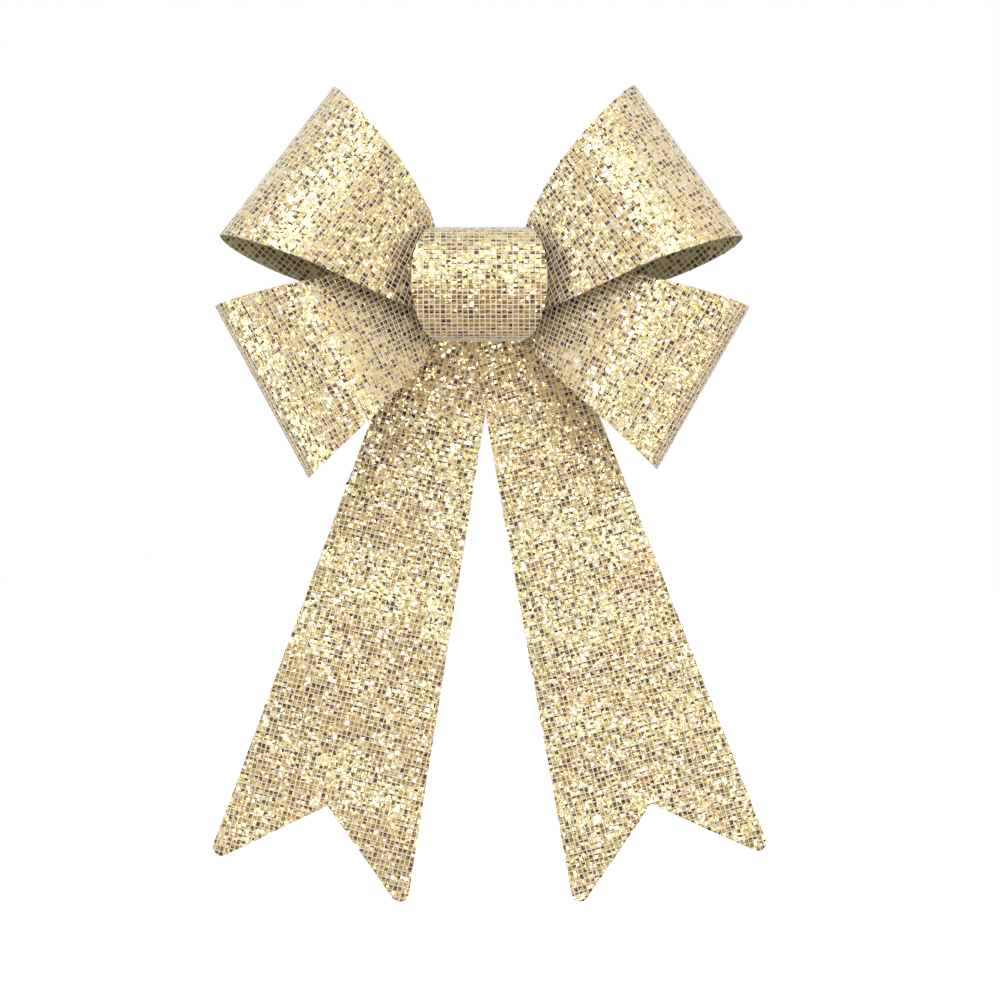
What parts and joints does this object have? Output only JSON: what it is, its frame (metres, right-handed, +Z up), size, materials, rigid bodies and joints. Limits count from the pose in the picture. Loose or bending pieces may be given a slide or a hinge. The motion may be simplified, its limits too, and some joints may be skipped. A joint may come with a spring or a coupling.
{
  "type": "cheer hair bow",
  "caption": "Layered hair bow of stiff woven glitter ribbon: fold-over loops round a barrel knot, swallow-tailed streamers, and a sprung alligator clip behind.",
  "frame": {"origin": "the middle of the clip's mouth, on the bow's centre line and level with the middle of the knot", "axes": "+Z up as worn, -Y out of the bow's face, +Y into the hair, +X to the right of someone looking at the bow"},
  "size_m": [0.1901, 0.0555, 0.2763],
  "materials": {
    "gold_ribbon": "metallic gold foil under a pearl net",
    "nylon_tie": "satin",
    "hot_glue": "translucent satin",
    "felt": "matt felt",
    "clip_steel": "nickel plated",
    "pin_steel": "satin",
    "spring_wire": "satin"
  },
  "bodies": {
    "bow": {"upper_left_loop": "gold_ribbon", "upper_right_loop": "gold_ribbon", "lower_left_loop": "gold_ribbon", "lower_right_loop": "gold_ribbon", "left_tail": "gold_ribbon", "right_tail": "gold_ribbon", "knot_band": "gold_ribbon", "centre_tie": "nylon_tie", "tail_glue": "hot_glue", "clip_glue": "hot_glue", "felt_backing": "felt", "clip_plate": "clip_steel", "clip_pivot_pin": "pin_steel", "clip_spring": "spring_wire"},
    "jaw": {"clip_jaw": "clip_steel"}
  },
  "joints": [
    {"name": "clip_jaw_hinge", "type": "hinge", "parent": "bow", "child": "jaw", "pos_m": [0.014, 0.0019, 0], "axis": [0, 0, -1], "range_deg": [0, 25], "stiffness_Nm_per_rad": 0.12, "springref_deg": -51.57, "deforming": ["clip_spring"]}
  ]
}
